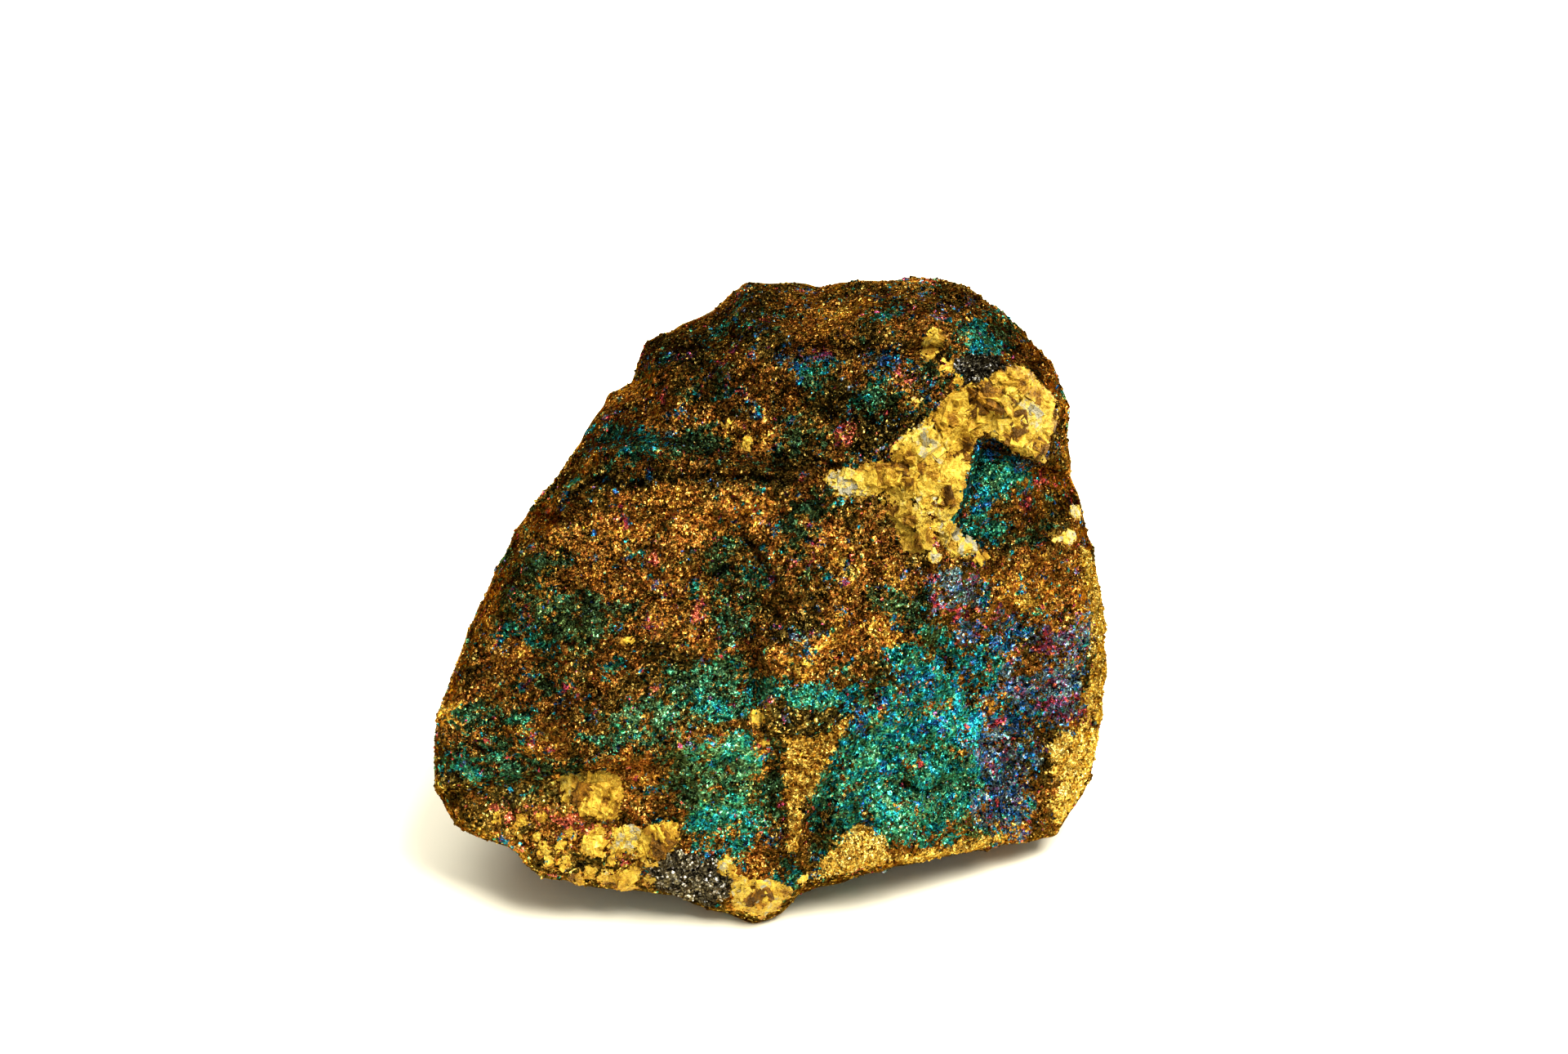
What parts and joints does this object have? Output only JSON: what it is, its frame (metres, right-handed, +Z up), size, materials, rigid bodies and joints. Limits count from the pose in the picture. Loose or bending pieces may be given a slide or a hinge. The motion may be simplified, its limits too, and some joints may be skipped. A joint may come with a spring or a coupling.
{
  "type": "peacock ore specimen",
  "caption": "Hand-sized chunk of tarnished peacock ore with stained quartz, a leaning broad face and a small flat spot to rest on.",
  "frame": {"origin": "under the middle of the stone's box, on the surface that it rests on", "axes": "+Z up, +X to the right along the stone's long side, the broad face leans back towards +Y and looks towards -Y"},
  "size_m": [0.05, 0.036, 0.0369],
  "materials": {
    "tarnished_sulphide": "granular metallic copper-iron sulphide with a gold, red, violet, blue and green tarnish",
    "stained_quartz": "sugary quartz stained yellow and amber, glassy on the grains",
    "dark_sulphide": "dark lead-grey granular sulphide with bright cleavage glints"
  },
  "bodies": {
    "root": {"ore_chunk": "tarnished_sulphide"}
  },
  "joints": []
}
